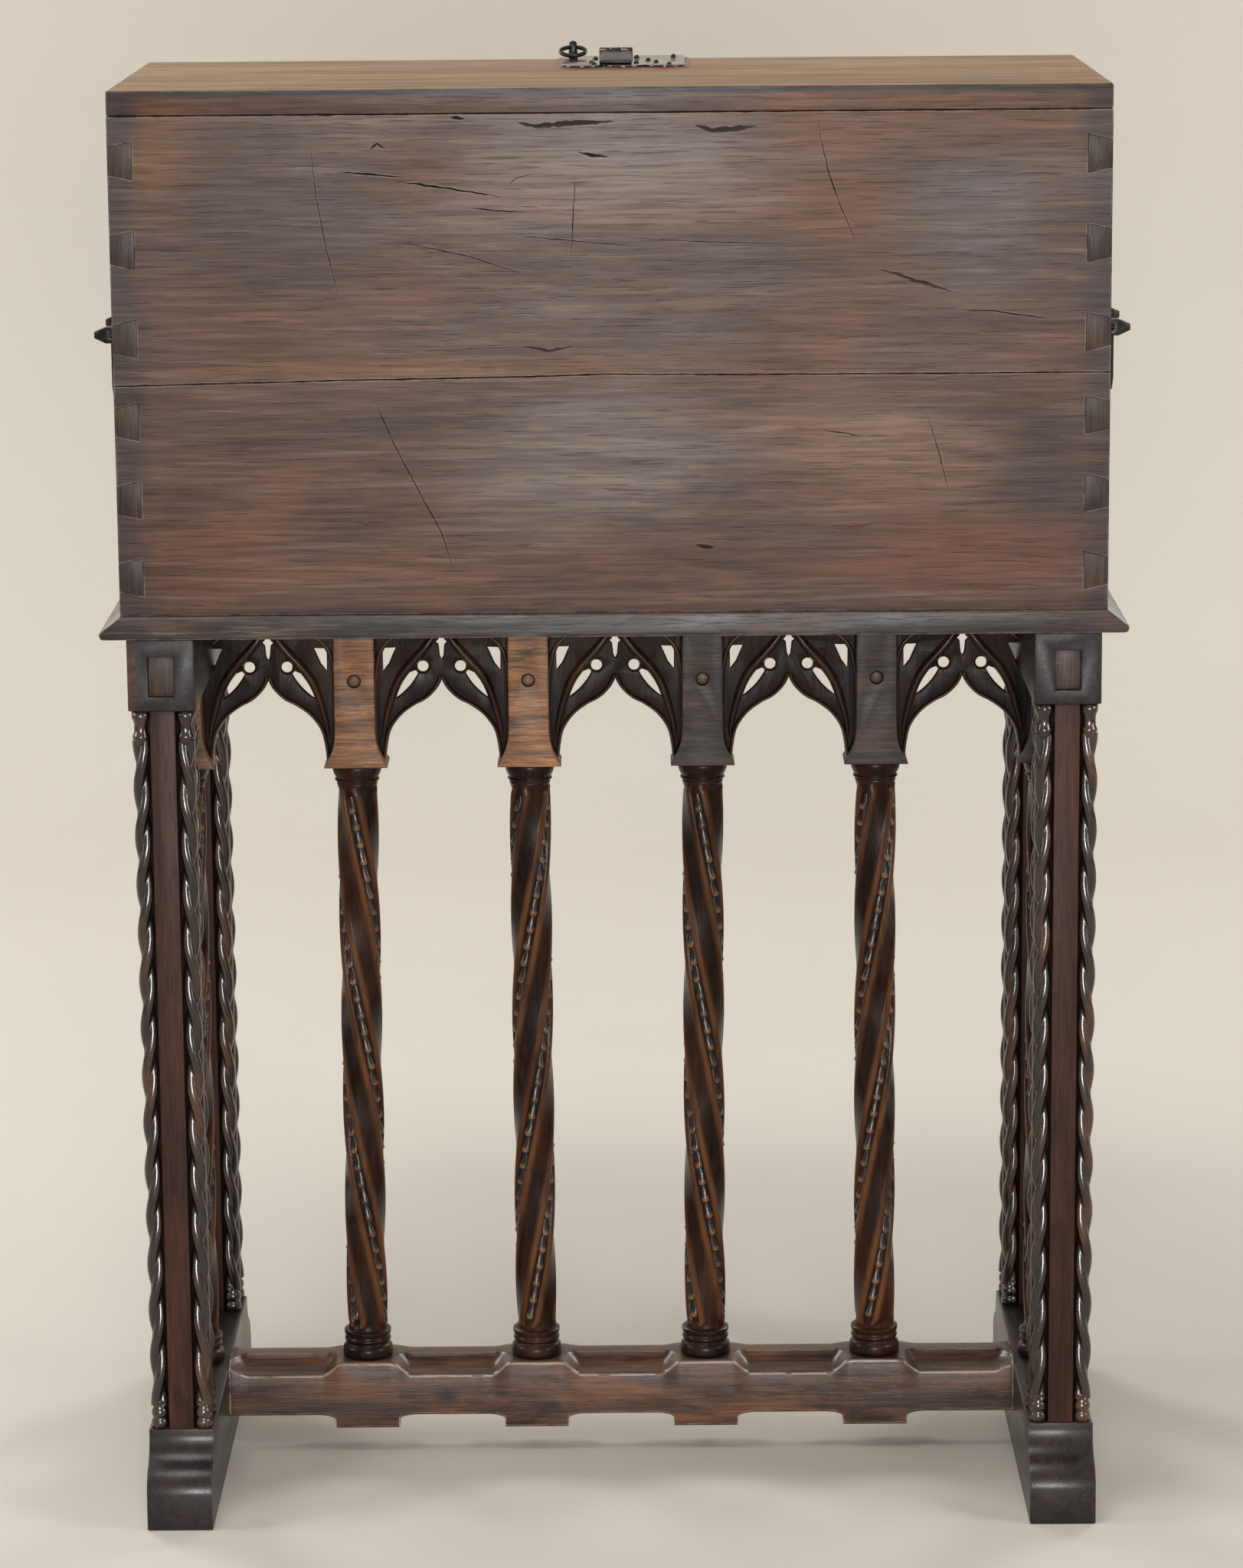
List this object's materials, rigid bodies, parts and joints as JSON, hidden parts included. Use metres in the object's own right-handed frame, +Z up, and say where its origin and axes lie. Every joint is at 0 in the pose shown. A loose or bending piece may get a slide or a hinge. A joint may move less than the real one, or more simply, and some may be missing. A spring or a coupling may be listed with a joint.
{
  "type": "fall-front writing chest on trestle stand",
  "caption": "Walnut fall-front writing chest with drawers behind a hinged writing flap, on an arcaded trestle stand with spiral columns, pierced arches, sled feet and pull-out lopers.",
  "frame": {"origin": "on the floor, at the middle of the bounding box of the part standing open", "axes": "+Z up, -Y out of the front where the fall opens, +X to the right seen from the front"},
  "size_m": [0.954, 0.894, 1.3428],
  "materials": {
    "chest_walnut": "satin",
    "stand_walnut": "gloss",
    "drawer_wood": "satin",
    "iron": "matte",
    "red_cloth": "matte"
  },
  "bodies": {
    "carcass": {"stand_top": "stand_walnut", "sled_foot_left": "stand_walnut", "sled_foot_right": "stand_walnut", "rear_post_left": "stand_walnut", "rear_post_right": "stand_walnut", "front_post_left": "stand_walnut", "front_post_right": "stand_walnut", "rope_colonnettes_left": "stand_walnut", "rope_colonnettes_right": "stand_walnut", "top_rail_left": "stand_walnut", "top_rail_right": "stand_walnut", "trestle_column_left": "stand_walnut", "trestle_column_right": "stand_walnut", "arcade_column_1": "stand_walnut", "arcade_column_2": "stand_walnut", "arcade_column_3": "stand_walnut", "arcade_column_4": "stand_walnut", "arcade_imposts": "stand_walnut", "arch_tracery": "stand_walnut", "end_tracery": "stand_walnut", "low_stretcher": "stand_walnut", "arcade_pegs": "stand_walnut", "loper_channel_plugs": "stand_walnut", "chest_top": "chest_walnut", "chest_bottom": "chest_walnut", "chest_side_left": "chest_walnut", "chest_side_right": "chest_walnut", "back_board_upper": "chest_walnut", "back_board_lower": "chest_walnut", "drawer_partitions": "drawer_wood", "fall_hinge_fixed": "iron", "hasp_top_plate": "iron", "ring_eye": "iron", "handle_plates": "iron", "handle_eyes": "iron", "hasp_cloth": "red_cloth"},
    "fall": {"fall_board": "chest_walnut", "fall_hinge_moving": "iron", "lock_plate": "iron"},
    "hasp": {"hasp_strap": "iron"},
    "ring": {"ring_pull": "iron"},
    "bail_l": {"bail_left": "iron"},
    "bail_r": {"bail_right": "iron"},
    "loper_l": {"loper_left": "stand_walnut"},
    "loper_r": {"loper_right": "stand_walnut"},
    "drawer_1_box": {"drawer_1": "drawer_wood"},
    "drawer_2_box": {"drawer_2": "drawer_wood"},
    "drawer_3_box": {"drawer_3": "drawer_wood"},
    "drawer_4_box": {"drawer_4": "drawer_wood"},
    "drawer_5_box": {"drawer_5": "drawer_wood"},
    "drawer_6_box": {"drawer_6": "drawer_wood"},
    "drawer_7_box": {"drawer_7": "drawer_wood"},
    "drawer_8_box": {"drawer_8": "drawer_wood"},
    "drawer_9_box": {"drawer_9": "drawer_wood"}
  },
  "joints": [
    {"name": "fall_hinge", "type": "hinge", "parent": "carcass", "child": "fall", "pos_m": [0, -0.001, 0.8555], "axis": [1, 0, 0], "range_deg": [-90, 0]},
    {"name": "hasp_hinge", "type": "hinge", "parent": "carcass", "child": "hasp", "pos_m": [-0.005, -0.004, 1.3313], "axis": [-1, 0, 0], "range_deg": [-270, 0]},
    {"name": "ring_swing", "type": "hinge", "parent": "carcass", "child": "ring", "pos_m": [0.036, 0.011, 1.3368], "axis": [1, 0, 0], "range_deg": [0, 120]},
    {"name": "bail_left_lift", "type": "hinge", "parent": "carcass", "child": "bail_l", "pos_m": [-0.459, 0.204, 1.092], "axis": [0, 1, 0], "range_deg": [0, 90]},
    {"name": "bail_right_lift", "type": "hinge", "parent": "carcass", "child": "bail_r", "pos_m": [0.459, 0.204, 1.092], "axis": [0, -1, 0], "range_deg": [0, 90]},
    {"name": "loper_left_slide", "type": "slide", "parent": "carcass", "child": "loper_l", "axis": [0, -1, 0], "range_m": [-0.25, 0]},
    {"name": "loper_right_slide", "type": "slide", "parent": "carcass", "child": "loper_r", "axis": [0, -1, 0], "range_m": [-0.25, 0]},
    {"name": "drawer_1_slide", "type": "slide", "parent": "carcass", "child": "drawer_1_box", "axis": [0, -1, 0], "range_m": [0, 0.24]},
    {"name": "drawer_2_slide", "type": "slide", "parent": "carcass", "child": "drawer_2_box", "axis": [0, -1, 0], "range_m": [0, 0.24]},
    {"name": "drawer_3_slide", "type": "slide", "parent": "carcass", "child": "drawer_3_box", "axis": [0, -1, 0], "range_m": [0, 0.24]},
    {"name": "drawer_4_slide", "type": "slide", "parent": "carcass", "child": "drawer_4_box", "axis": [0, -1, 0], "range_m": [0, 0.24]},
    {"name": "drawer_5_slide", "type": "slide", "parent": "carcass", "child": "drawer_5_box", "axis": [0, -1, 0], "range_m": [0, 0.24]},
    {"name": "drawer_6_slide", "type": "slide", "parent": "carcass", "child": "drawer_6_box", "axis": [0, -1, 0], "range_m": [0, 0.24]},
    {"name": "drawer_7_slide", "type": "slide", "parent": "carcass", "child": "drawer_7_box", "axis": [0, -1, 0], "range_m": [0, 0.24]},
    {"name": "drawer_8_slide", "type": "slide", "parent": "carcass", "child": "drawer_8_box", "axis": [0, -1, 0], "range_m": [0, 0.24]},
    {"name": "drawer_9_slide", "type": "slide", "parent": "carcass", "child": "drawer_9_box", "axis": [0, -1, 0], "range_m": [0, 0.24]}
  ]
}
